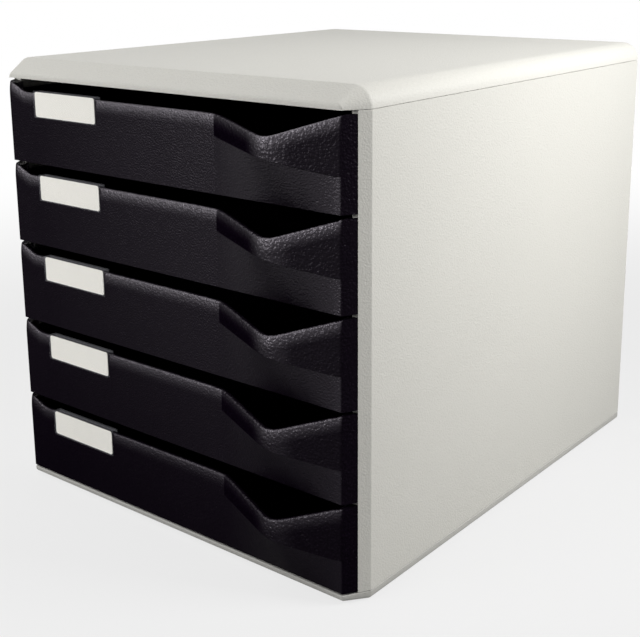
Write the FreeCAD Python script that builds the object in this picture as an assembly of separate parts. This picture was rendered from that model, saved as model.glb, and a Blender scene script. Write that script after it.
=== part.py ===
import FreeCAD, Part
import math
import os

# Desktop drawer organizer for A4 papers: a light moulded casing with five black trays that
# pull out forward. Millimetres, X to the right, Y towards the back, Z up. The origin is
# under the middle of the whole object, on the desk. Sub-parts are drawn with the flat face
# of the drawer fronts at y = 0 and are moved back to the origin when they are saved.

# Casing, driving sizes
casing_width = 291.0
casing_depth = 340.0
casing_wall = 2.5
foot_proud = 0.6
base_height = 5.2
base_floor = 2.6
base_side_round = 0.8
base_front_lift = 1.3
cover_height = 12.1
cover_round = 12.0
cover_front_wall = 3.2
bevel_in = 9.0
bevel_back = 14.8
shell_seam = 0.15

# Drawers, driving sizes
drawer_count = 5
drawer_pitch = 54.4
row_gap = 2.2
lowest_gap = 1.1
front_wall = 2.5
rim_depth = 6.0
rim_thick = 3.0
cheek_share = 0.487
low_edge = 46.9
corner_sweep = 13.7

# Grip, the beak at the right of each front
grip_apex = 18.0
grip_crease_x = 47.0
grip_nose_x = 97.5
grip_nose_round = 17.0
nose_steps = 8
valley_floor = 38.2
valley_round = 14.0
crease_round = 30.0
lip_at_crease = 33.4
lip_at_nose = 27.9
lip_at_corner = 20.5

# Tray behind each front
tray_wall = 2.0
tray_floor = 2.0
tray_rise = 4.0
tray_side_gap = 0.7
tray_back_gap = 7.0
tray_corner_round = 8.0
play = 0.3

# Runners, jambs and stops
cheek_gap = 0.4
jamb_thick = 3.0
ledge_width = 14.0
ledge_thick = 2.5
ledge_start = 20.0
ledge_end_gap = 14.0
ear_out = 4.6
ear_long = 8.0
ear_tall = 9.0
return_depth = 9.0
drawer_travel = 250.0

# Label and its clear holder
label_inset = 26.4
label_width = 57.2
label_height = 16.0
label_thick = 0.4
label_rise = 30.8
holder_border = 1.0
holder_sheet = 0.9
holder_fold = 1.4
holder_hook = 6.0
touch_gap = 0.1

# Feet, and the ribs that locate the shells
foot_radius = 8.0
foot_thick = 2.0
foot_inset = 26.0
foot_pad = 13.0
foot_edge = 0.4
underside_rim = 9.0
rib_wall = 2.0
rib_start = 22.0
rib_play = 0.2
skirt_drop = 5.0
skirt_bite = 7.0
tongue_rise = 2.0
cleat_width = 6.0
cleat_thick = 2.6

# Worked out from the driving sizes
half_width = casing_width / 2
base_top = foot_proud + base_height
lowest_front = base_top + lowest_gap
cover_bottom = lowest_front + drawer_count * drawer_pitch
cover_top = cover_bottom + cover_height
front_height = drawer_pitch - row_gap
corner_x = half_width - bevel_in
cheek_x = corner_x + bevel_in * cheek_share
cheek_y = bevel_back * cheek_share
wall_x = half_width - casing_wall
tray_x = corner_x - tray_side_gap
tray_inner_x = tray_x - tray_wall
tray_back = casing_depth - casing_wall - tray_back_gap
jamb_front = return_depth + play
jamb_back = jamb_front + jamb_thick
ear_front = jamb_back + play + drawer_travel

# The nose is rounded, so the grip reaches a little less far than where its flanks would meet.
left_flank = math.atan2(grip_apex, grip_nose_x - grip_crease_x)
right_flank = math.atan2(grip_apex, corner_x - grip_nose_x)
nose_half_turn = (left_flank + right_flank) / 2
nose_tilt = (right_flank - left_flank) / 2
nose_centre_back = grip_nose_round * math.cos(nose_tilt) / math.cos(nose_half_turn)
grip_reach = grip_apex - nose_centre_back + grip_nose_round
front_plane_y = grip_reach - (casing_depth + grip_reach) / 2

x_axis = FreeCAD.Vector(1, 0, 0)
y_axis = FreeCAD.Vector(0, 1, 0)
z_axis = FreeCAD.Vector(0, 0, 1)
centre = FreeCAD.Vector(0, 0, 0)
beyond = 40.0


def box(x_range, y_range, z_range):
    size = (x_range[1] - x_range[0], y_range[1] - y_range[0], z_range[1] - z_range[0])
    return Part.makeBox(*size, FreeCAD.Vector(x_range[0], y_range[0], z_range[0]))


def cylinder(x, y, z_low, z_high, radius):
    return Part.makeCylinder(radius, z_high - z_low, FreeCAD.Vector(x, y, z_low), z_axis)


def fused(shapes):
    return shapes[0].multiFuse(shapes[1:]) if len(shapes) > 1 else shapes[0]


def mirrored(shape):
    return shape.mirror(centre, x_axis)


def save(name, shape):
    solid = shape.removeSplitter()
    solid.translate(y_axis * front_plane_y)
    if not solid.isValid():
        raise ValueError(name + " is not a valid solid")
    solid.exportStep("parts/" + name + ".step")
    print(name, len(solid.Solids), "solids", round(solid.Volume / 1000, 1), "cubic cm")


def rounded_outline(corners, radii):
    """A closed wire through the corners, each one rounded by its own radius."""
    edges = []
    count = len(corners)
    starts = []
    for i, corner in enumerate(corners):
        before = (corners[i - 1] - corner).normalize()
        after = (corners[(i + 1) % count] - corner).normalize()
        if radii[i] == 0:
            starts.append((corner, None, corner))
            continue
        half_angle = before.getAngle(after) / 2
        bisector = (before + after).normalize()
        trim = radii[i] / math.tan(half_angle)
        middle = corner + bisector * (radii[i] / math.sin(half_angle) - radii[i])
        starts.append((corner + before * trim, middle, corner + after * trim))
    for i, (entry, middle, leave) in enumerate(starts):
        if middle is not None:
            edges.append(Part.Arc(entry, middle, leave).toShape())
        following = starts[(i + 1) % count][0]
        if leave.distanceToPoint(following) > 0.001:
            edges.append(Part.makeLine(leave, following))
    return Part.Wire(edges)


# Casing

def casing_outline(y, half_x, z_low, z_high, low_round, high_round):
    corners = [
        FreeCAD.Vector(-half_x, y, z_low),
        FreeCAD.Vector(half_x, y, z_low),
        FreeCAD.Vector(half_x, y, z_high),
        FreeCAD.Vector(-half_x, y, z_high),
    ]
    return rounded_outline(corners, [low_round, low_round, high_round, high_round])


def bevelled_block(front, behind, y_front, y_back):
    """A block along y whose front end narrows over the depth of the bevel."""
    y_bevel = y_front + bevel_back
    small = casing_outline(y_front, *front)
    large = casing_outline(y_bevel, *behind)
    nose = Part.makeLoft([small, large], True, True)
    body = Part.Face(large).extrude(y_axis * (y_back - y_bevel))
    return nose.fuse(body)


def make_top_cover():
    low = cover_bottom - beyond
    outer = bevelled_block(
        (corner_x, low, cover_top - bevel_in, 0, cover_round - bevel_in),
        (half_width, low, cover_top, 0, cover_round),
        0,
        casing_depth,
    )
    inside_top = cover_top - casing_wall
    inside_round = cover_round - casing_wall
    hollow = bevelled_block(
        (corner_x - casing_wall, low, inside_top - bevel_in, 0, inside_round - bevel_in),
        (wall_x, low, inside_top, 0, inside_round),
        cover_front_wall,
        casing_depth - casing_wall,
    )
    below = box(
        (-half_width - beyond, half_width + beyond),
        (-beyond, casing_depth + beyond),
        (low - beyond, cover_bottom),
    )
    shell = outer.cut(hollow).cut(below)
    rail = box(
        (wall_x - rib_play - rib_wall, wall_x - rib_play),
        (rib_start, casing_depth - casing_wall - beyond / 2),
        (cover_bottom - skirt_drop, cover_bottom + skirt_bite),
    )
    return fused([shell, rail, mirrored(rail)])


def foot_places():
    front = foot_inset + bevel_back / 2
    return [
        (side * (half_width - foot_inset), y)
        for side in (-1, 1)
        for y in (front, casing_depth - foot_inset)
    ]


def make_base():
    slab = bevelled_block(
        (corner_x, foot_proud + base_front_lift, base_top, base_side_round, 0),
        (half_width, foot_proud, base_top, base_side_round, 0),
        0,
        casing_depth,
    )
    floor_low = base_top - base_floor
    recess = box(
        (underside_rim - half_width, half_width - underside_rim),
        (bevel_back, casing_depth - underside_rim),
        (0, floor_low),
    )
    pads = [
        box((x - foot_pad, x + foot_pad), (y - foot_pad, y + foot_pad), (0, floor_low))
        for x, y in foot_places()
    ]
    pockets = [
        cylinder(x, y, 0, foot_thick + touch_gap, foot_radius + touch_gap)
        for x, y in foot_places()
    ]
    tongue = box(
        (wall_x - rib_play - rib_wall, wall_x - rib_play),
        (rib_start, casing_depth - casing_wall - beyond / 2),
        (base_top - base_floor, base_top + tongue_rise),
    )
    hollowed = slab.cut(recess.cut(fused(pads))).cut(fused(pockets))
    return fused([hollowed, tongue, mirrored(tongue)])


def make_rubber_feet():
    feet = []
    for x, y in foot_places():
        foot = cylinder(x, y, 0, foot_thick, foot_radius)
        rim = [edge for edge in foot.Edges if edge.BoundBox.ZMax < foot_edge]
        feet.append(foot.makeChamfer(foot_edge, rim))
    return Part.makeCompound(feet)


def front_low(row):
    """Height of the bottom edge of a drawer front; row 1 is the top drawer."""
    return lowest_front + (drawer_count - row) * drawer_pitch


def rows():
    return range(1, drawer_count + 1)


def make_side_panel():
    """The right-hand panel with its front jamb, its five runner ledges and a rear cleat."""
    strip_x = cheek_x + cheek_gap
    strip_y = bevel_back * (strip_x - corner_x) / bevel_in
    plan = [
        (half_width, bevel_back),
        (half_width, casing_depth),
        (wall_x, casing_depth),
        (wall_x, jamb_back),
        (corner_x, jamb_back),
        (corner_x, jamb_front),
        (strip_x, jamb_front),
        (strip_x, strip_y),
    ]
    z_low = base_top + shell_seam
    z_high = cover_bottom - shell_seam
    points = [FreeCAD.Vector(x, y, z_low) for x, y in plan]
    wall = Part.Face(Part.makePolygon(points + points[:1])).extrude(z_axis * (z_high - z_low))
    pieces = [wall]
    for row in rows():
        ledge_top = front_low(row) + tray_rise - play
        pieces.append(
            box(
                (half_width - ledge_width, wall_x + touch_gap),
                (ledge_start, casing_depth - ledge_end_gap),
                (ledge_top - ledge_thick, ledge_top),
            )
        )
    cleat_back = casing_depth - casing_wall - rib_play
    pieces.append(
        box(
            (wall_x - cleat_width, wall_x + touch_gap),
            (cleat_back - cleat_thick, cleat_back),
            (z_low + tongue_rise, z_high - skirt_drop),
        )
    )
    return fused(pieces)


def make_back_panel():
    return box(
        (shell_seam - wall_x, wall_x - shell_seam),
        (casing_depth - casing_wall, casing_depth),
        (base_top + shell_seam, cover_bottom - shell_seam),
    )


# Drawers

def edge_profile(drop, z_front):
    """The shape under the top edge of a front, lowered by a drop, through its whole depth."""
    sweep_x = corner_sweep - corner_x
    top = z_front + front_height - drop
    low = z_front + low_edge - drop
    places = [
        (-half_width - beyond, z_front - beyond, 0),
        (half_width + beyond, z_front - beyond, 0),
        (half_width + beyond, top, 0),
        (corner_x, top, 0),
        (grip_nose_x, z_front + valley_floor - drop, valley_round),
        (grip_crease_x, low, crease_round),
        (sweep_x, low, corner_sweep),
        (-corner_x, top, 0),
        (-half_width - beyond, top, 0),
    ]
    corners = [FreeCAD.Vector(x, -beyond, z) for x, z, radius in places]
    outline = rounded_outline(corners, [radius for x, z, radius in places])
    return Part.Face(outline).extrude(y_axis * 2 * beyond)


def grip_outline():
    """Places along the grip from its crease to the corner, with how far each stands out."""
    nose_x = grip_nose_x + nose_centre_back * math.tan(nose_tilt)
    centre_out = grip_reach - grip_nose_round
    places = [(grip_crease_x, 0.0)]
    for step in range(nose_steps + 1):
        turn = -left_flank + (left_flank + right_flank) * step / nose_steps
        out = centre_out + grip_nose_round * math.cos(turn)
        places.append((nose_x + grip_nose_round * math.sin(turn), out))
    places.append((corner_x, 0.0))
    return places


def lip_height(x):
    if x < grip_nose_x:
        share = (x - grip_crease_x) / (grip_nose_x - grip_crease_x)
        return lip_at_crease + (lip_at_nose - lip_at_crease) * share
    share = (x - grip_nose_x) / (corner_x - grip_nose_x)
    return lip_at_nose + (lip_at_corner - lip_at_nose) * share


def grip_volume(shift, back, z_front):
    """The beak from its outside, moved back by a shift, to a plane behind it."""
    sections = []
    for x, out in grip_outline():
        corners = [
            FreeCAD.Vector(x, back, z_front),
            FreeCAD.Vector(x, shift, z_front),
            FreeCAD.Vector(x, shift - out, z_front + lip_height(x)),
            FreeCAD.Vector(x, shift - out, z_front + front_height),
            FreeCAD.Vector(x, back, z_front + front_height),
        ]
        sections.append(Part.makePolygon(corners + corners[:1]))
    return Part.makeLoft(sections, True, True)


def make_drawer(row):
    z_front = front_low(row)
    z_tray = z_front + tray_rise
    z_floor = z_tray + tray_floor
    plan = [
        (-cheek_x, return_depth),
        (-cheek_x, cheek_y),
        (-corner_x, 0),
        (corner_x, 0),
        (cheek_x, cheek_y),
        (cheek_x, return_depth),
        (tray_inner_x, return_depth),
        (tray_inner_x, rim_depth),
        (-tray_inner_x, rim_depth),
        (-tray_inner_x, return_depth),
    ]
    points = [FreeCAD.Vector(x, y, z_front) for x, y in plan]
    slab = Part.Face(Part.makePolygon(points + points[:1])).extrude(z_axis * front_height)
    front = slab.fuse(grip_volume(0, rim_depth, z_front)).common(edge_profile(0, z_front))

    within = box((-tray_inner_x, tray_inner_x), (-beyond, beyond), (z_floor, z_front + beyond * 2))
    behind = beyond / 2
    thin = fused([
        box((-tray_inner_x, tray_inner_x), (front_wall, behind), (z_floor, z_front + front_height)),
        grip_volume(front_wall, behind, z_front),
    ])
    under_rim = thin.common(within).common(edge_profile(rim_thick, z_front))
    past_rim = grip_volume(rim_depth, behind, z_front).common(within)
    under_floor = box(
        (-tray_inner_x, tray_inner_x),
        (front_wall, behind),
        (z_front - tray_rise, z_tray),
    )

    tray = box((-tray_x, tray_x), (front_wall / 2, tray_back), (z_tray, z_front + low_edge))
    corners = [e for e in tray.Edges if e.BoundBox.ZLength > tray_rise and e.BoundBox.YMin > beyond]
    tray = tray.makeFillet(tray_corner_round, corners)
    inside = box(
        (-tray_inner_x, tray_inner_x),
        (0, tray_back - tray_wall),
        (z_floor, z_front + front_height),
    )
    corners = [e for e in inside.Edges if e.BoundBox.ZLength > tray_rise and e.BoundBox.YMin > beyond]
    inside = inside.makeFillet(tray_corner_round - tray_wall, corners)
    ear = box(
        (tray_x - touch_gap, tray_x + ear_out),
        (ear_front, ear_front + ear_long),
        (z_tray, z_tray + ear_tall),
    )
    shell = front.cut(fused([under_rim, past_rim])).cut(under_floor)
    moulding = fused([shell, tray.cut(inside)])
    return fused([moulding, ear, mirrored(ear)])


# Labels

def make_label_card(row):
    left = label_inset - corner_x
    z_low = front_low(row) + label_rise
    return box(
        (left, left + label_width),
        (-touch_gap - label_thick, -touch_gap),
        (z_low, z_low + label_height),
    )


def make_label_holder(row):
    left = label_inset - corner_x - touch_gap
    right = left + label_width + 2 * touch_gap
    z_low = front_low(row) + label_rise - touch_gap
    z_rim = front_low(row) + low_edge + touch_gap
    sheet_back = -2 * touch_gap - label_thick
    sheet_front = sheet_back - holder_sheet
    hook_front = rim_depth + touch_gap
    hook_back = hook_front + holder_fold
    window = box(
        (left - holder_border, right + holder_border),
        (sheet_front, -touch_gap),
        (z_low - holder_border, z_rim + holder_fold),
    )
    pocket = box((left, right), (sheet_back, 0), (z_low, z_rim))
    fold = box(
        (left - holder_border, right + holder_border),
        (sheet_front, hook_back),
        (z_rim, z_rim + holder_fold),
    )
    hook = box(
        (left - holder_border, right + holder_border),
        (hook_front, hook_back),
        (z_rim - holder_hook, z_rim + holder_fold),
    )
    return fused([window.cut(pocket), fold, hook])


os.makedirs("parts", exist_ok=True)
save("base", make_base())
save("rubber_feet", make_rubber_feet())
save("top_cover", make_top_cover())
save("right_side_panel", make_side_panel())
save("left_side_panel", mirrored(make_side_panel()))
save("back_panel", make_back_panel())
for row in rows():
    save("drawer_" + str(row), make_drawer(row))
    save("label_holder_" + str(row), make_label_holder(row))
    save("label_card_" + str(row), make_label_card(row))
print("grip reach", round(grip_reach, 2), "whole depth", round(casing_depth + grip_reach, 2))
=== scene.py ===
# %% [markdown]
# A desktop drawer organizer, dressed for a photograph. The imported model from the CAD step
# is the fixed frame: it says where every piece sits and how every drawer slides. This
# lesson models the skin of each piece over that frame, the way it would be done by hand.

# %% Load the frame
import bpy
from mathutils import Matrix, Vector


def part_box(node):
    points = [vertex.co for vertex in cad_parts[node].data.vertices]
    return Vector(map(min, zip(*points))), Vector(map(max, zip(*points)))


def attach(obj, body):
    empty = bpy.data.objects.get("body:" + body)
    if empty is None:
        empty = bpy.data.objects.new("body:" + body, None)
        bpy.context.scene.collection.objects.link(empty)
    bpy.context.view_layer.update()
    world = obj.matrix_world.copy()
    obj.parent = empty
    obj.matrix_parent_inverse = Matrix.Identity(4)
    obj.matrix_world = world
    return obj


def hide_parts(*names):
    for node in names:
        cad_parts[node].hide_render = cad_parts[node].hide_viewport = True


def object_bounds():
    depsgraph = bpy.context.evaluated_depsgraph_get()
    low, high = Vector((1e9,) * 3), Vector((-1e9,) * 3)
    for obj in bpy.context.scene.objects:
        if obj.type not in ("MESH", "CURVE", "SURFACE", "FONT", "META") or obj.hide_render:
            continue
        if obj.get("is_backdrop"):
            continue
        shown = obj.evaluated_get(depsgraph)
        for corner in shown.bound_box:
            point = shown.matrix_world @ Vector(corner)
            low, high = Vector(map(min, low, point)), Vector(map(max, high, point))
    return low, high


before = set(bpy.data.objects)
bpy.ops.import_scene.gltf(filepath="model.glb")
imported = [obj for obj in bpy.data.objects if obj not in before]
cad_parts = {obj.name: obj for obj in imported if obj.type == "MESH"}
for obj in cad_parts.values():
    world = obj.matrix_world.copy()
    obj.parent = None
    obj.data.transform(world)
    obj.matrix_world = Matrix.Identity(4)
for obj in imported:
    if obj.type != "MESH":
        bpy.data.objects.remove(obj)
cad_low, cad_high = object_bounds()
print("nodes", len(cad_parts), "size in mm", [round(1000 * v) for v in cad_high - cad_low])

# %% [markdown]
# Everything on the real object is measured from the flat face of its drawer fronts, so the
# pieces are drawn in millimetres from that face, with x to the right and z up from the
# desk, and brought to metres when they are done. The face is where the top cover begins.

# %% Where the drawer fronts stand
import math
import bmesh
import bpy
from mathutils import Vector

front_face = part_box("top_cover")[0].y
row_names = [name for name in sorted(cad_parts) if name.startswith("drawer_")]
rows = range(1, len(row_names) + 1)
front_low = {row: 1000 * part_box("drawer_" + str(row))[0].z for row in rows}
print("front face at y", round(front_face, 4), "front bottoms", front_low)

# %% [markdown]
# The photograph was taken a little from the right and from above. Its upright edges run
# nearly parallel, so the lens is shifted down instead of the camera being tilted far.

# %% The camera
photo_size = (640, 637)
camera = bpy.data.objects.new("camera", bpy.data.cameras.new("camera"))
bpy.context.scene.collection.objects.link(camera)
camera.location = (0.4883, -0.6157, 0.3576)
camera.rotation_euler = (math.radians(76.62), math.radians(0.42), math.radians(38.76))
camera.data.sensor_width = 36
camera.data.lens = 1143.5 / photo_size[0] * camera.data.sensor_width
camera.data.shift_y = -0.15
camera.data.dof.use_dof = False
bpy.context.scene.camera = camera
print("lens", round(camera.data.lens, 2), "mm")

# %% [markdown]
# Modelling by hand means a few moves again and again: start a block, pick faces or edges,
# cut with a plane, pull, push and round. Each move is one short helper here. A new block is
# selected all over, so a helper clears the selection before it picks by place.

# %% Start a block, and open a piece for editing
def put_down():
    """Leaves edit mode, with nothing selected."""
    if bpy.context.object and bpy.context.object.mode == "EDIT":
        bpy.ops.object.mode_set(mode="OBJECT")
    bpy.ops.object.select_all(action="DESELECT")


def only(piece):
    put_down()
    piece.select_set(True)
    bpy.context.view_layer.objects.active = piece


def edit(piece):
    only(piece)
    bpy.ops.object.mode_set(mode="EDIT")
    bpy.ops.mesh.select_all(action="DESELECT")
    return piece


def block(name, x, y, z):
    """A block between these places, opened for editing with nothing selected."""
    middle = [(low + high) / 2 for low, high in (x, y, z)]
    size = [abs(high - low) for low, high in (x, y, z)]
    put_down()
    bpy.ops.mesh.primitive_cube_add(size=1, location=middle, scale=size)
    piece = bpy.context.object
    piece.name = piece.data.name = name
    bpy.ops.object.transform_apply(location=True, rotation=True, scale=True)
    return edit(piece)


# %% Pick by place, cut, pull, move and round
def place_of(part):
    if isinstance(part, bmesh.types.BMVert):
        return part.co
    if isinstance(part, bmesh.types.BMEdge):
        return (part.verts[0].co + part.verts[1].co) / 2
    return part.calc_center_median()


def pick(kind, test=lambda place, part: True):
    """Selects the verts, edges or faces for which test(place, part) holds."""
    bpy.ops.mesh.select_mode(type={"verts": "VERT", "edges": "EDGE", "faces": "FACE"}[kind])
    bpy.ops.mesh.select_all(action="DESELECT")
    mesh = bmesh.from_edit_mesh(bpy.context.edit_object.data)
    mesh.normal_update()
    chosen = [part for part in getattr(mesh, kind) if test(place_of(part), part)]
    for part in chosen:
        part.select_set(True)
    mesh.select_flush_mode()
    bmesh.update_edit_mesh(bpy.context.edit_object.data)
    return len(chosen)


def cut(place, normal, drop=False):
    """Cuts the selection by a plane. With drop, the side the normal points to goes.

    The operator clamps each part of its normal to 1, so it is given a unit vector."""
    across = Vector(normal).normalized()
    bpy.ops.mesh.bisect(plane_co=place, plane_no=across, use_fill=drop, clear_outer=drop)


def pull(x=0, y=0, z=0):
    bpy.ops.mesh.extrude_region_move(TRANSFORM_OT_translate={"value": (x, y, z)})


def move(x=0, y=0, z=0):
    bpy.ops.transform.translate(value=(x, y, z))


def round_edges(radius, segments):
    bpy.ops.mesh.bevel(offset=radius, segments=segments, profile=0.5, affect="EDGES")


# %% Join pieces, apply modifiers, and settle a piece on its body
def join(piece, others):
    only(piece)
    for other in others:
        other.select_set(True)
    bpy.ops.object.join()
    return piece


def apply(piece, kind, **settings):
    only(piece)
    bpy.ops.object.modifier_add(type=kind)
    modifier = piece.modifiers[-1]
    for name, value in settings.items():
        setattr(modifier, name, value)
    bpy.ops.object.modifier_apply(modifier=modifier.name)


def soften(piece, width, segments=2, sharp=40):
    """Rounds every sharp edge a little, and shades so that flat faces stay flat."""
    apply(piece, "BEVEL", width=width, segments=segments, limit_method="ANGLE",
          angle_limit=math.radians(sharp))
    bpy.ops.object.shade_smooth_by_angle(angle=math.radians(40))
    apply(piece, "WEIGHTED_NORMAL", keep_sharp=True)


def wear(piece, *finishes):
    for finish in finishes:
        piece.data.materials.append(finish)


def settle(piece, node, body, slot):
    """From millimetres to metres, and onto the CAD body whose node it stands for."""
    only(piece)
    piece.scale = (0.001, 0.001, 0.001)
    piece.location = (0, front_face, 0)
    bpy.ops.object.transform_apply(location=True, rotation=True, scale=True)
    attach(piece, body)
    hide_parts(node)
    print(piece.name, len(piece.data.polygons), "faces")


# %% [markdown]
# A finish is written as sums. This small class holds one socket of a shader, and each sum
# written with it adds a Math node. A finish holds the material and makes any other node.

# %% Sums on sockets, and finishes
class Signal:
    def __init__(self, finish, socket):
        self.finish, self.socket = finish, socket

    def math(self, operation, first, second):
        return self.finish.node("ShaderNodeMath", {"operation": operation}, {0: first, 1: second})

    def __add__(self, other):
        return self.math("ADD", self, other)

    def __radd__(self, other):
        return self.math("ADD", other, self)

    def __sub__(self, other):
        return self.math("SUBTRACT", self, other)

    def __rsub__(self, other):
        return self.math("SUBTRACT", other, self)

    def __mul__(self, other):
        return self.math("MULTIPLY", self, other)

    def __rmul__(self, other):
        return self.math("MULTIPLY", other, self)


class Finish:
    def __init__(self, name, data=None):
        self.data = data or bpy.data.materials.new(name)
        self.data.use_nodes = True
        self.tree = self.data.node_tree
        self.tree.nodes.clear()

    def node(self, kind, settings=None, sockets=None, out=0):
        """Any node: its settings are set first, then its sockets are given values or links."""
        made = self.tree.nodes.new(kind)
        for name, value in (settings or {}).items():
            if name == "stops":
                for stop, (place, shade) in zip(made.color_ramp.elements, value):
                    stop.position, stop.color = place, (*[shade] * 3, 1)
            else:
                setattr(made, name, value)
        for name, value in (sockets or {}).items():
            if isinstance(value, Signal):
                self.tree.links.new(value.socket, made.inputs[name])
            else:
                made.inputs[name].default_value = value
        return Signal(self, made.outputs[out]) if len(made.outputs) else None

    def blend(self, share, first, second):
        """A colour between two, through a Mix node."""
        return self.node("ShaderNodeMix", {"data_type": "RGBA"}, {0: share, 6: first, 7: second}, 2)


# %% [markdown]
# The casing is moulded in a light warm grey. Its mould was etched with a fine pebble grain,
# which breaks the shine up, and years on a desk leave a faint unevenness. The grain is a
# bump made from cells about a millimetre wide, and the unevenness is a soft large noise.
# The base looks a shade darker, so it gets the same recipe with darker colours.

# %% The casing's finish
def pebbled(name, pale, dull, cell, depth, shine):
    finish = Finish(name)
    place = finish.node("ShaderNodeTexCoord", out="Object")
    cells = finish.node("ShaderNodeTexVoronoi", {"feature": "SMOOTH_F1"},
                        {"Vector": place, "Scale": 1000 / cell, "Smoothness": 0.6}, "Distance")
    haze = finish.node("ShaderNodeTexNoise", None, {"Vector": place, "Scale": 7, "Detail": 3})
    dust = finish.node("ShaderNodeTexNoise", None, {"Vector": place, "Scale": 900, "Detail": 2})
    share = haze * 0.4 + cells * 0.6 + dust * 0.2
    colour = finish.blend(share, (*pale, 1), (*dull, 1))
    grain = finish.node("ShaderNodeBump", None,
                        {"Height": cells + dust * 0.4, "Strength": 0.5, "Distance": depth / 1000})
    skin = finish.node("ShaderNodeBsdfPrincipled", None, {
        "Base Color": colour, "Roughness": shine + dust * 0.12, "Normal": grain,
        "Specular IOR Level": 0.4})
    finish.node("ShaderNodeOutputMaterial", None, {"Surface": skin})
    return finish.data


casing_plastic = pebbled("casing_plastic", (0.692, 0.681, 0.630), (0.612, 0.602, 0.559), 1.05, 0.28, 0.45)
base_plastic = pebbled("base_plastic", (0.545, 0.535, 0.504), (0.480, 0.472, 0.443), 1.05, 0.28, 0.5)

# %% [markdown]
# The drawers are black with a leather-like grain, coarser where fingers take hold. One
# recipe makes both grains: a noise gives the wrinkles their height, and a pattern of cells
# makes cushions between thin creases, slightly paler than they are. Each piece carries its
# shine as an attribute, written point by point, which mixes a dull shader with a glossy one.
# That shine is partly the polish of handling and partly painted sheen and painted shade.

# %% The drawers' finishes
def leathered(name, cell, depth, shine):
    finish = Finish(name)
    place = finish.node("ShaderNodeTexCoord", out="Object")
    ripple = finish.node("ShaderNodeTexNoise", None,
                         {"Vector": place, "Scale": 600 / cell, "Detail": 2}, "Color")
    drift = finish.node("ShaderNodeVectorMath", {"operation": "SCALE"},
                        {0: ripple, "Scale": 0.0006 * cell})
    bent = finish.node("ShaderNodeVectorMath", {"operation": "ADD"}, {0: place, 1: drift})
    crease = finish.node("ShaderNodeTexVoronoi", {"feature": "DISTANCE_TO_EDGE"},
                         {"Vector": bent, "Scale": 1000 / cell}, "Distance")
    cushion = finish.node("ShaderNodeMapRange", {"interpolation_type": "SMOOTHSTEP"},
                          {"Value": crease, "From Min": 0.0, "From Max": 0.45})
    haze = finish.node("ShaderNodeTexNoise", None, {"Vector": place, "Scale": 9, "Detail": 3})
    colour = finish.blend(cushion * 0.7 + haze * 0.3, (0.0018, 0.0006, 0.0026, 1),
                          (0.0062, 0.0036, 0.0080, 1))
    wrinkle = finish.node("ShaderNodeTexNoise", None, {
        "Vector": place, "Scale": 1000 / cell, "Detail": 1})
    grain = finish.node("ShaderNodeBump", None, {
        "Height": cushion * 0.1 + wrinkle * 4.0, "Strength": 0.8, "Distance": depth / 1000})
    rough = shine + haze * 0.1 - cushion * 0.06
    # The sheen attribute sets the glossy shader's share: partly handling's polish, partly painted sheen and
    # painted shade.
    polish_and_painted_sheen = finish.node("ShaderNodeAttribute", {"attribute_name": "polish_and_painted_sheen"}, out="Fac")
    dull, glossy = [finish.node("ShaderNodeBsdfPrincipled", None, {
        "Base Color": colour, "Roughness": rough, "Normal": grain,
        "Specular IOR Level": level, "Specular Tint": (0.97, 0.90, 1.0, 1)}) for level in (0.0, 1.0)]
    skin = finish.node("ShaderNodeMixShader", None,
                       {0: polish_and_painted_sheen * (0.98 + cushion * 0.2), 1: dull, 2: glossy})
    finish.node("ShaderNodeOutputMaterial", None, {"Surface": skin})
    return finish.data


drawer_leather = leathered("drawer_fine_grain", 1.1, 0.17, 0.30)
grip_leather = leathered("drawer_coarse_grain", 1.6, 0.27, 0.30)


def polish_and_paint_sheen(piece, polish_and_painted_sheen_at):
    """Writes how shiny the piece is at each of its points: partly handling's polish, partly painted sheen and
    painted shade.
    """
    marks = piece.data.attributes.new("polish_and_painted_sheen", "FLOAT", "POINT")
    for mark, vert in zip(marks.data, piece.data.vertices):
        mark.value = polish_and_painted_sheen_at(vert.co)

# %% [markdown]
# Paper, clear plastic and rubber finish the small pieces. The holder is nearly invisible:
# it shows by its gloss and by a faint cool tint, so it is mostly see-through.

# %% Paper, clear plastic and rubber
def papery():
    finish = Finish("label_paper")
    place = finish.node("ShaderNodeTexCoord", out="Object")
    fibre = finish.node("ShaderNodeTexNoise", None, {"Vector": place, "Scale": 1400, "Detail": 4})
    cloud = finish.node("ShaderNodeTexNoise", None, {"Vector": place, "Scale": 60, "Detail": 2})
    colour = finish.blend(cloud * 0.6 + fibre * 0.4, (0.960, 0.940, 0.860, 1), (0.930, 0.908, 0.825, 1))
    grain = finish.node("ShaderNodeBump", None, {"Height": fibre, "Strength": 0.3, "Distance": 0.00003})
    # The paper glows faintly through its emission: painted light that brightens the label.
    skin = finish.node("ShaderNodeBsdfPrincipled", None, {
        "Base Color": colour, "Roughness": 0.75 + fibre * 0.15, "Normal": grain,
        "Emission Color": (1, 0.98, 0.92, 1), "Emission Strength": 0.08})
    finish.node("ShaderNodeOutputMaterial", None, {"Surface": skin})
    return finish.data


def clear():
    finish = Finish("clear_holder")
    place = finish.node("ShaderNodeTexCoord", out="Object")
    smear = finish.node("ShaderNodeTexNoise", None, {"Vector": place, "Scale": 90, "Detail": 3})
    colour = finish.blend(smear, (0.80, 0.80, 0.86, 1), (0.72, 0.72, 0.80, 1))
    skin = finish.node("ShaderNodeBsdfPrincipled", None, {
        "Base Color": colour, "Roughness": 0.05 + smear * 0.12, "Alpha": 0.07, "IOR": 1.49})
    finish.node("ShaderNodeOutputMaterial", None, {"Surface": skin})
    return finish.data


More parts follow.
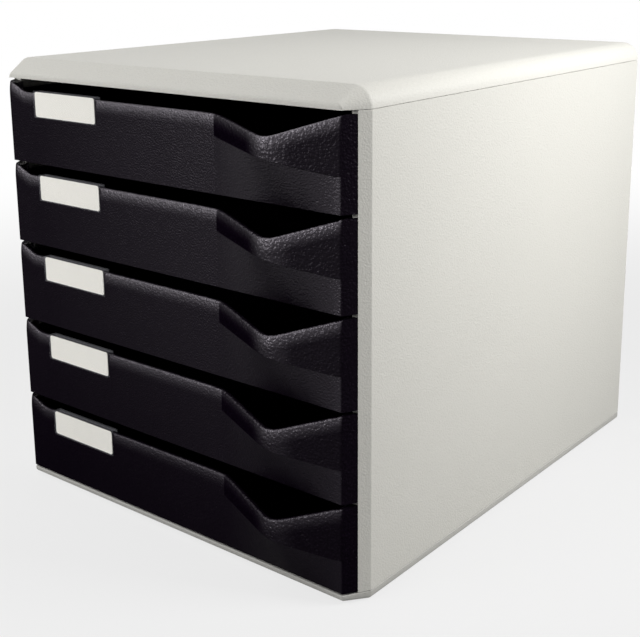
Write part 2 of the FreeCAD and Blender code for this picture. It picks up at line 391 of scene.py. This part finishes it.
def rubbery():
    finish = Finish("foot_rubber")
    place = finish.node("ShaderNodeTexCoord", out="Object")
    speck = finish.node("ShaderNodeTexNoise", None, {"Vector": place, "Scale": 1200, "Detail": 3})
    colour = finish.blend(speck, (0.050, 0.050, 0.055, 1), (0.075, 0.075, 0.08, 1))
    grain = finish.node("ShaderNodeBump", None, {"Height": speck, "Strength": 0.4, "Distance": 0.0001})
    skin = finish.node("ShaderNodeBsdfPrincipled", None, {
        "Base Color": colour, "Roughness": 0.75 + speck * 0.15, "Normal": grain})
    finish.node("ShaderNodeOutputMaterial", None, {"Surface": skin})
    return finish.data


label_paper, clear_holder, foot_rubber = papery(), clear(), rubbery()

# %% [markdown]
# The casing's front is narrower than its body: both sides and the top run in by 9 mm over
# the first 14.8 mm. The base is one slab with that plan. Two slanting cuts take its front
# corners, a third lifts the lower front edge, and an inset hollows it underneath.

# %% The base
half_width, depth, bevel_in, bevel_back = 145.5, 340.0, 9.0, 14.8
corner_x = half_width - bevel_in
base_low, base_top = 0.6, 5.8


def cut_front_corners():
    for side in (-1, 1):
        pick("faces")
        cut((side * corner_x, 0, 0), (side * bevel_back, -bevel_in, 0), drop=True)


base = block("base_slab", (-half_width, half_width), (0, depth), (base_low, base_top))
cut_front_corners()
pick("faces")
cut((0, 0, base_low + 1.3), (0, -1.3, -bevel_back), drop=True)
pick("edges", lambda place, edge: place.z < 2 and (place.y < 0.1 or abs(place.x) > corner_x + 1))
round_edges(2.2, 4)
pick("faces", lambda place, face: face.normal.z < -0.99 and face.calc_area() > 5000)
bpy.ops.mesh.inset(thickness=9)
pull(z=2.6)
foot_places = [(side * 119.5, y) for side in (-1, 1) for y in (33.4, 314.0)]
soften(base, 0.7, 3, sharp=25)

# %% Round pads under the base, each with a pocket for a foot
pads = []
for x, y in foot_places:
    put_down()
    bpy.ops.mesh.primitive_cylinder_add(vertices=48, radius=13, depth=2.8, location=(x, y, 2.0))
    pad = bpy.context.object
    bpy.ops.object.transform_apply(location=True, rotation=True, scale=True)
    edit(pad)
    pick("faces", lambda place, face: face.normal.z < -0.99)
    bpy.ops.mesh.inset(thickness=4.9)
    pull(z=1.5)
    soften(pad, 0.2)
    pads.append(pad)
for side in (-1, 1):
    rib = block("rib", (side * 140.8, side * 142.8), (22, 317.5), (3.0, 7.8))
    soften(rib, 0.3)
    pads.append(rib)
join(base, pads)
wear(base, base_plastic)
settle(base, "base", "casing", "casing_plastic")

# %% [markdown]
# Under each pad pocket sits a round rubber foot, 0.6 mm proud of the base. It starts as a
# short cylinder whose rim is rounded and whose sole is pressed in. One is modelled, and
# the others are copies with their own mesh.

# %% The rubber feet
put_down()
bpy.ops.mesh.primitive_cylinder_add(vertices=48, radius=8, depth=2, location=(*foot_places[0], 1))
foot = bpy.context.object
foot.name = foot.data.name = "foot_discs"
bpy.ops.object.transform_apply(location=True, rotation=True, scale=True)
edit(foot)
pick("faces", lambda place, face: face.normal.z < -0.99)
bpy.ops.mesh.inset(thickness=2)
pull(z=0.3)
soften(foot, 0.35)
copies = []
for x, y in foot_places[1:]:
    copy = foot.copy()
    copy.data = foot.data.copy()
    bpy.context.scene.collection.objects.link(copy)
    copy.location = (x - foot_places[0][0], y - foot_places[0][1], 0)
    copies.append(copy)
join(foot, copies)
wear(foot, foot_rubber)
settle(foot, "rubber_feet", "casing", "foot_rubber")

# %% [markdown]
# The top cover is a shallow lid. Its long edges are rounded by 12 mm, and towards the front
# that rounding shrinks to 3 mm while the lid slopes down to a thin fascia. So it is drawn
# as two arched outlines: one is pulled back to make the body, and the small front one is
# bridged to it. With its underside left open, Solidify gives it a wall.

# %% The top cover
cover_low, cover_top, fascia_top = 278.9, 291.0, 282.0


def arch(name, y, half, top, radius):
    """A standing sheet across the casing whose two upper corners are rounded."""
    put_down()
    bpy.ops.mesh.primitive_plane_add(
        size=1, location=(0, y, (cover_low + top) / 2), rotation=(math.radians(90), 0, 0))
    piece = bpy.context.object
    piece.name = piece.data.name = name
    piece.scale = (2 * half, top - cover_low, 1)
    bpy.ops.object.transform_apply(location=True, rotation=True, scale=True)
    edit(piece)
    pick("verts", lambda place, vert: place.z > top - 0.1)
    bpy.ops.mesh.bevel(offset=radius, segments=12, profile=0.5, affect="VERTICES")
    bpy.ops.object.mode_set(mode="OBJECT")
    return piece


cover = arch("cover_lid", bevel_back, half_width, cover_top, 12.0)
edit(cover)
pick("faces")
pull(y=depth - bevel_back)
pick("faces", lambda place, face: place.y < bevel_back + 0.1)
bpy.ops.mesh.delete(type="ONLY_FACE")
fascia = arch("fascia", 0, corner_x, fascia_top, 3.0)
edit(fascia)
pick("faces")
bpy.ops.mesh.delete(type="ONLY_FACE")
join(cover, [fascia])
edit(cover)
pick("edges", lambda place, edge: place.y < bevel_back + 0.1 and edge.is_boundary or edge.is_wire)
bpy.ops.mesh.bridge_edge_loops()
pick("edges", lambda place, edge: place.y < 0.1)
bpy.ops.mesh.edge_face_add()
pick("faces")
bpy.ops.mesh.normals_make_consistent(inside=False)
pick("faces", lambda place, face: face.normal.z < -0.99)
bpy.ops.mesh.delete(type="FACE")
apply(cover, "SOLIDIFY", thickness=2.5, offset=-1, use_even_offset=True)

# %% Round the lid's crest and the edge of its fascia
edit(cover)


def at_bend(place, edge, y):
    along = abs(edge.verts[0].co.y - y) < 0.01 and abs(edge.verts[1].co.y - y) < 0.01
    outside = all(face.normal.y < 0.01 for face in edge.link_faces)
    return along and outside and abs(edge.verts[0].co.x - edge.verts[1].co.x) > 0.01


print("crest edges", pick("edges", lambda place, edge: at_bend(place, edge, bevel_back)))
round_edges(0.8, 3)
print("fascia edges", pick("edges", lambda place, edge: at_bend(place, edge, 0) and place.z > cover_low + 0.1))
round_edges(1.2, 3)
soften(cover, 0.3)
ribs = []
for side in (-1, 1):
    rib = block("rib", (side * 140.8, side * 142.8), (22, 317.5), (273.9, 285.9))
    soften(rib, 0.3)
    ribs.append(rib)
join(cover, ribs)
wear(cover, casing_plastic)
settle(cover, "top_cover", "casing", "casing_plastic")

# %% [markdown]
# A side panel carries on the slanted front of the casing, and just behind the drawers'
# cheeks it turns inwards as a jamb. It starts as the small front block: one face is pulled
# in to make the jamb, another is pulled back to make the long wall, and one slanting cut
# makes the front strip. Five ledges inside carry the drawers.

# %% The side panels
panel_low, panel_high = 5.95, 278.6


def side_panel(name, side):
    strip_x, strip_y = 141.28, 7.86
    panel = block(name, (side * strip_x, side * half_width), (strip_y, 12.3), (panel_low, panel_high))
    pick("faces")
    cut((side * 143, 0, 0), (1, 0, 0))
    pick("faces")
    cut((0, 9.3, 0), (0, 1, 0))
    pick("faces", lambda place, face: side * face.normal.x < -0.9 and place.y > 9.3)
    pull(x=-side * (strip_x - corner_x))
    pick("faces", lambda place, face: face.normal.y > 0.9 and side * place.x > 143)
    pull(y=depth - 12.3)
    pick("faces")
    cut((side * corner_x, 0, 0), (side * bevel_back, -bevel_in, 0), drop=True)
    soften(panel, 0.35, sharp=25)
    ledges = []
    for row in rows:
        top = front_low[row] + 3.7
        ledge = block("ledge", (side * 131.5, side * 143.1), (20, 326), (top - 2.5, top))
        soften(ledge, 0.4)
        ledges.append(ledge)
    cleat = block("cleat", (side * 137, side * 143.1), (334.7, 337.3), (8, 273.7))
    soften(cleat, 0.4)
    return join(panel, ledges + [cleat])


for name, side in (("right_side", 1), ("left_side", -1)):
    panel = side_panel(name + "_shell", side)
    wear(panel, casing_plastic)
    settle(panel, name + "_panel", "casing", "casing_plastic")

# %% [markdown]
# The back is a flat panel that slides in between the sides. Nobody sees it in the
# photograph. A shallow pressed field with soft edges keeps such a thin sheet stiff.

# %% The back panel
back = block("back_sheet", (-142.85, 142.85), (337.5, depth), (panel_low, panel_high))
pick("faces", lambda place, face: face.normal.y > 0.9)
bpy.ops.mesh.inset(thickness=14)
bpy.ops.mesh.inset(thickness=1.2, depth=-0.7)
soften(back, 0.3)
wear(back, casing_plastic)
settle(back, "back_panel", "casing", "casing_plastic")

# %% [markdown]
# A drawer front is one moulded sheet: a flat face whose upper band leans back to a thin
# wavy edge, two slanted cheeks, and at the right a beak to pull it by. It is drawn as a
# block that is cut into upright strips where its outline bends. In each strip the upper
# corners are let down to the wavy edge, and the band above the lip is brought forward to
# the beak. These short sums give the heights and the reach at any place along the front.

# %% The front's outline, from a few bends
front_height, cheek_x, cheek_y, return_y = 52.2, 140.88, 7.21, 9.0
crease_x, nose_x, beak_out = 47.0, 97.5, 18.0
top_bends = [(-corner_x, 52.2, 0), (-122.8, 46.0, 13.7), (crease_x, 46.0, 200), (nose_x, 38.9, 36),
             (corner_x, 52.2, 0)]
beak_bends = [(-corner_x, 0, 0), (crease_x, 0, 2), (nose_x, beak_out, 17), (corner_x, 0, 0)]
lean_drops, lean_radius = (9.0, 7.5, 6.0, 4.5, 3.0, 1.5, 0.0), 40.0


def slope(a, b):
    return (b[1] - a[1]) / (b[0] - a[0])


def height_at(bends, x):
    """Height of a bent line at x, where each bend is rounded by its radius."""
    for before, bend, after in zip(bends, bends[1:], bends[2:]):
        down, up = math.atan(slope(before, bend)), math.atan(slope(bend, after))
        trim = bend[2] * math.tan(abs(up - down) / 2)
        start, end = bend[0] - trim * math.cos(down), bend[0] + trim * math.cos(up)
        if start < x < end:
            turn = 1 if up > down else -1
            middle_x = start - turn * bend[2] * math.sin(down)
            middle_z = bend[1] - trim * math.sin(down) + turn * bend[2] * math.cos(down)
            return middle_z - turn * math.sqrt(bend[2] ** 2 - (x - middle_x) ** 2)
    for left, right in zip(bends, bends[1:]):
        if x <= right[0] + 0.001:
            return left[1] + slope(left, right) * (x - left[0])
    return bends[-1][1]


def lip_at(x):
    return height_at([(crease_x, 33.4, 0), (nose_x, 27.9, 0), (132, 20.7, 0), (corner_x, 20.5, 0)], x)


strips = [-133.8, -130, -126, -125, -123.8, -122.6, -121.4, -120.2, -110, -80, -40, 0, 32]
strips += [36, 40, 44, 46.4, 46.7, 47, 47.3, 47.6, 50] + [54 + 4 * step for step in range(10)]
strips += [92.2, 93.6, 95, 96.2, 97.3, 98.3, 99.4, 100.6, 101.9, 103.2, 104.6, 106]
strips += [112, 118, 124, 129, 132, 133.8, 135.2]
lip_drop = 0.6


def lean_at(drop):
    """How far the face leans back this far below the upper edge, where it starts to curve."""
    return (lean_drops[0] - drop) ** 2 / (2 * lean_radius)


def step_at(x):
    """How far the face under the lip is set back: it grows to the right and ends at the corner."""
    return max(0.0, min((x - 88) / 40 * 1.1, (corner_x - x) / 3 * 1.1, 1.1))


print("valley", round(height_at(top_bends, nose_x), 1), "reach", round(height_at(beak_bends, 98.3), 2))

# %% The front's block and its strips
front = block("front_1", (-cheek_x, cheek_x), (0, return_y), (0, front_height))
for side in (-1, 1):
    pick("faces")
    cut((side * corner_x, 0, 0), (side * cheek_y, -(cheek_x - corner_x), 0), drop=True)
for x in strips:
    pick("faces", lambda place, face: abs(face.normal.x) < 0.1)
    cut((x, 0, 0), (1, 0, 0))


def hidden(place, face):
    """The underside, and the back and the top between the cheeks."""
    behind = face.normal.y > 0.9 or face.normal.z > 0.9
    return face.normal.z < -0.9 or behind and abs(place.x) < 133.8


pick("faces", hidden)
bpy.ops.mesh.delete(type="FACE")

# %% Cut the lip line, bring the beak forward and let the upper edge down
columns = sorted(x for x in strips if x > 46) + [corner_x]
for left, right in zip(columns, columns[1:]):
    fall = (lip_at(right) - lip_at(left)) / (right - left)
    for drop in (0, lip_drop):
        pick("faces", lambda place, face: face.normal.y < -0.9 and left < place.x < right)
        cut((left, 0, lip_at(left) - drop), (-fall, 0, 1))
for x in columns:
    out, lip = height_at(beak_bends, x), lip_at(x)
    under = (out * (1 - lip_drop / lip) - step_at(x))
    pick("verts", lambda place, vert: abs(place.x - x) < 0.01 and place.y < 0.01 and place.z > lip - 0.1)
    move(y=-out)
    pick("verts", lambda place, vert: abs(place.x - x) < 0.01 and abs(place.z - lip + lip_drop) < 0.02)
    move(y=-under)
for x in strips + [-corner_x, corner_x]:
    pick("verts", lambda place, vert: abs(place.x - x) < 0.01 and place.z > front_height - 0.1)
    move(z=height_at(top_bends, x) - front_height)

# %% Lean the upper band back along its curve
columns = sorted(strips + [-corner_x, corner_x])
for left, right in zip(columns, columns[1:]):
    low, high = height_at(top_bends, left), height_at(top_bends, right)
    fall = (high - low) / (right - left)
    for drop in lean_drops[:-1]:
        pick("faces", lambda place, face: face.normal.y < -0.5 and left < place.x < right)
        cut((left, 0, low - drop), (-fall, 0, 1))
for x in columns:
    for drop in lean_drops:
        z = height_at(top_bends, x) - drop
        pick("verts", lambda place, vert: (
            abs(place.x - x) < 0.01 and abs(place.z - z) < 0.02 and place.y < 1))
        move(y=lean_at(drop))
pick("faces")
bpy.ops.mesh.normals_make_consistent(inside=False)
apply(front, "SOLIDIFY", thickness=2.5, offset=-1, use_even_offset=True)

# %% Round the rim and the lip
edit(front)


def faces_meet(edge, first, second):
    normals = [face.normal for face in edge.link_faces]
    return len(normals) == 2 and (
        first(normals[0]) and second(normals[1]) or first(normals[1]) and second(normals[0]))


def is_rim(place, edge):
    return abs(place.x) < corner_x and place.z > 30 and faces_meet(
        edge, lambda n: n.z > 0.8, lambda n: n.y < -0.8 and abs(n.z) < 0.3)


def is_lip(place, edge):
    return place.x > crease_x + 1 and place.y < -0.3 and faces_meet(
        edge, lambda n: n.y < -0.8 and abs(n.z) < 0.05, lambda n: n.z < -0.03 and n.y < -0.7)


print("rim edges", pick("edges", is_rim))
round_edges(1.1, 3)
print("lip edges", pick("edges", is_lip))
round_edges(0.7, 2)
bpy.ops.object.mode_set(mode="OBJECT")
soften(front, 0.5)
wear(front, drawer_leather, grip_leather)

# %% [markdown]
# Up close the grip's grain is coarser than the flat face's. Faces on the beak's band and on
# the cheeks take the coarse finish. The shine is painted sheen, partly the polish of hands:
# strongest on the upper edge and the nose, weak on the flat face and rising to the right,
# and nearly nothing in the hollow left of the nose, painted shade that keeps it almost
# black, as it is in the photograph.

# %% The grip's coarse grain, and the painted sheen with the shine of handling
def in_band(place):
    """Whether a place is on the beak's band, above the lip."""
    return place.x > crease_x and place.z > lip_at(place.x) - 0.2


for face in front.data.polygons:
    face.material_index = int(in_band(face.center) or abs(face.center.x) > corner_x)


def polish_and_painted_sheen_at(place):
    """Painted sheen, partly fingers' polish: bright on the upper edge and the nose, painted shade on the hollow
    left side.
    """
    if abs(place.x) > corner_x - 0.3:
        return 0.04
    drop = height_at(top_bends, place.x) - place.z
    edge = max(0, 1 - max(drop, 0) / lean_drops[0])
    # The flat face's shine rising to the right is a painted reflection.
    face = 0.05 + 0.09 * min(max((place.x + 110) / 150, 0), 1)
    if place.x < crease_x:
        return face + (0.88 - face) * edge ** 2
    if not in_band(place):
        return face + 0.19 * min((place.x - crease_x) / 30, 1)
    nose = min(max((place.x - 84) / 12, 0), 1)
    flank = min(max((place.x - 104) / 8, 0), 1)
    over = 0.27 - 0.17 * flank
    return 0.4 * edge ** 3 * (1 - nose) + (over + (0.88 - over) * edge ** 1.4) * nose


# Writes the painted sheen and painted shade, with the polish of handling, onto the front.
polish_and_paint_sheen(front, polish_and_painted_sheen_at)

# %% [markdown]
# The tray behind each front is a plain open box with rounded back corners and a low ear on
# each side that stops it from being pulled out. Its top and front are left open, and
# Solidify gives it walls.

# %% The tray
tray = block("tray_1", (-135.8, 135.8), (1.25, 330.5), (4, 46.9))
pick("edges", lambda place, edge: place.y > 330 and abs(edge.verts[0].co.z - edge.verts[1].co.z) > 1)
round_edges(8, 6)
pick("faces", lambda place, face: face.normal.z > 0.9 or face.normal.y < -0.9)
bpy.ops.mesh.delete(type="FACE")
apply(tray, "SOLIDIFY", thickness=2, offset=-1, use_even_offset=True)
soften(tray, 0.4)
ears = []
for side in (-1, 1):
    ear = block("ear", (side * 135.7, side * 140.4), (262.6, 270.6), (4, 13))
    pick("edges", lambda place, edge: side * place.x > 140 and abs(edge.verts[0].co.z - edge.verts[1].co.z) > 1)
    round_edges(1.5, 3)
    soften(ear, 0.3)
    ears.append(ear)
join(tray, ears)

# %% [markdown]
# The label is a card with rounded corners, held against the front by a clear holder. The
# holder is a thin sheet that folds over the rim and hooks behind it. One block makes it:
# the pocket is pushed in from behind, and the fold is pulled back and down.

# %% The label card and its clear holder
card = block("card_1", (-110.1, -52.9), (-0.5, -0.1), (30.8, 46.8))
pick("edges", lambda place, edge: abs(edge.verts[0].co.y - edge.verts[1].co.y) > 0.1)
round_edges(1.5, 4)
soften(card, 0.08)

holder = block("holder_1", (-110.7, -52.3), (-1.3, -0.1), (30.3, 47.3))
for x in (-110.2, -52.8):
    pick("faces")
    cut((x, 0, 0), (1, 0, 0))
for z in (30.7, 46.9):
    pick("faces")
    cut((0, 0, z), (0, 0, 1))
pick("faces", lambda place, face: face.normal.y > 0.9 and -110 < place.x < -53 and 31 < place.z < 47)
pull(y=-0.5)
for reach in (3.75, 0.6):
    pick("faces", lambda place, face: face.normal.y > 0.9 and place.z > 46.95)
    pull(y=reach)
pick("faces", lambda place, face: face.normal.z < -0.9 and place.y > 3.6)
pull(z=-6)
soften(holder, 0.25)

# %% [markdown]
# The five drawers are alike, so one is modelled and the rest are copies with their own
# mesh. Only the sheen differs: it is weaker on each lower front, partly because hands go to
# the upper drawers most and partly as painted shade that keeps the lowest fronts dull black.

# %% Copy the drawer's pieces to its five rows
# Each row's share of the sheen: partly handling, partly painted shade that darkens the lower fronts.
handling_and_painted_row_shade = {row: 1.15 - 0.04 * (row - 1) ** 2 for row in rows}
print("share of the polish_and_paint_sheen", handling_and_painted_row_shade)


def copied(piece, name, lift):
    copy = piece.copy()
    copy.data = piece.data.copy()
    copy.name = copy.data.name = name
    bpy.context.scene.collection.objects.link(copy)
    copy.location = (0, 0, lift)
    only(copy)
    bpy.ops.object.transform_apply(location=True, rotation=True, scale=True)
    return copy


wear(tray, drawer_leather)
polish_and_paint_sheen(tray, lambda place: 0.12)
wear(card, label_paper)
wear(holder, clear_holder)
patterns = {
    "front": (front, "drawer_", "drawer_plastic"),
    "tray": (tray, "drawer_", "drawer_plastic"),
    "card": (card, "label_card_", "white_card"),
    "holder": (holder, "label_holder_", "clear_plastic"),
}
for kind, (pattern, node, slot) in patterns.items():
    for row in rows:
        piece = copied(pattern, kind + "_row_" + str(row), front_low[row])
        if kind == "front":
            # The lower fronts get less sheen: painted shade, partly handling.
            for mark in piece.data.attributes["polish_and_painted_sheen"].data:
                mark.value *= handling_and_painted_row_shade[row]
        settle(piece, node + str(row), "drawer_" + str(row) + "_unit", slot)
    bpy.data.objects.remove(pattern)

# %% [markdown]
# The floor is a plain pale sheet that runs out of the picture. The camera sees it and the
# background as white, and so do glossy surfaces, while the floor still takes the shadow.

# %% The floor and the background
put_down()
bpy.ops.mesh.primitive_plane_add(size=12)
floor = bpy.context.object
floor.name = "floor"
floor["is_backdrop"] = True
surface = Finish("floor")
place = surface.node("ShaderNodeTexCoord", out="Object")
away = surface.node("ShaderNodeVectorMath", {"operation": "LENGTH"}, {0: place}, "Value")
far = surface.node("ShaderNodeMapRange", {"interpolation_type": "SMOOTHSTEP"},
                   {"Value": away, "From Min": 0.35, "From Max": 1.2})
open_floor = surface.node("ShaderNodeMapRange", {"interpolation_type": "SMOOTHSTEP"},
                          {"Value": away, "From Min": 0.24, "From Max": 0.5})
seen = surface.node("ShaderNodeLightPath", out="Is Camera Ray")
mirror = surface.node("ShaderNodeLightPath", out="Is Glossy Ray")
through = surface.node("ShaderNodeLightPath", out="Is Transmission Ray")
pale = surface.node("ShaderNodeBsdfDiffuse", None, {"Color": (0.50, 0.50, 0.50, 1)})
glow = surface.node("ShaderNodeEmission", None, {"Color": (1, 1, 1, 1), "Strength": 1.0})
share = (seen + through) * (0.75 + 0.25 * far) + mirror * open_floor * 0.6
shown = surface.node("ShaderNodeMixShader", None, {0: share, 1: pale, 2: glow})
surface.node("ShaderNodeOutputMaterial", None, {"Surface": shown})
wear(floor, surface.data)

world = bpy.data.worlds.new("studio")
bpy.context.scene.world = world
sky = Finish("studio", world)
seen = sky.node("ShaderNodeLightPath", out="Is Camera Ray")
mirror = sky.node("ShaderNodeLightPath", out="Is Glossy Ray")
through = sky.node("ShaderNodeLightPath", out="Is Transmission Ray")
dim = sky.node("ShaderNodeBackground", None, {"Color": (1, 1, 1, 1), "Strength": 0.14})
white = sky.node("ShaderNodeBackground", None, {"Color": (1, 1, 1, 1), "Strength": 1.0})
shown = sky.node("ShaderNodeMixShader", None, {0: seen + mirror + through, 1: dim, 2: white})
sky.node("ShaderNodeOutputWorld", None, {"Surface": shown})

# %% [markdown]
# The photograph's light comes from a soft source near the right side, which makes the
# upper back of that side the brightest. A wide one overhead, towards the front left, evens
# out the top, and a wide low one in front shows as the shine along the black rims. A weak
# one behind the left, kept below the top, is for whoever walks round the object.

# %% The lamps
def lamp(name, place, aim, size, power, spread):
    data = bpy.data.lights.new(name, "AREA")
    data.shape, data.energy, data.spread = "RECTANGLE", power, math.radians(spread)
    data.size, data.size_y = size
    made = bpy.data.objects.new(name, data)
    bpy.context.scene.collection.objects.link(made)
    made.location, made.visible_camera = place, False
    made.rotation_euler = (Vector(aim) - Vector(place)).to_track_quat("-Z", "Y").to_euler()
    return made


lamp("key", (0.64, 0.19, 0.56), (0.1, 0.02, 0.22), (0.3, 0.3), 1.95, 105)
lamp("overhead", (-0.38, -0.48, 1.25), (0, 0, 0.25), (1.0, 1.0), 5.4, 180)
lamp("fill", (-0.95, 0.85, 0.17), (-0.1, 0.1, 0.15), (0.6, 0.16), 3.0, 120)
lamp("front", (-0.35, -1.05, 0.45), (0, -0.16, 0.2), (0.70, 0.22), 2.1, 120)

# %% Colours as written, the CAD and visual boxes printed, and the frame finished
bpy.context.scene.view_settings.view_transform = "Standard"
low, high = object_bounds()
{"cad": [list(cad_low), list(cad_high)], "visual": [list(low), list(high)]}
print("CAD box", [round(v, 4) for v in (*cad_low, *cad_high)])
print("visual box", [round(v, 4) for v in (*low, *high)])
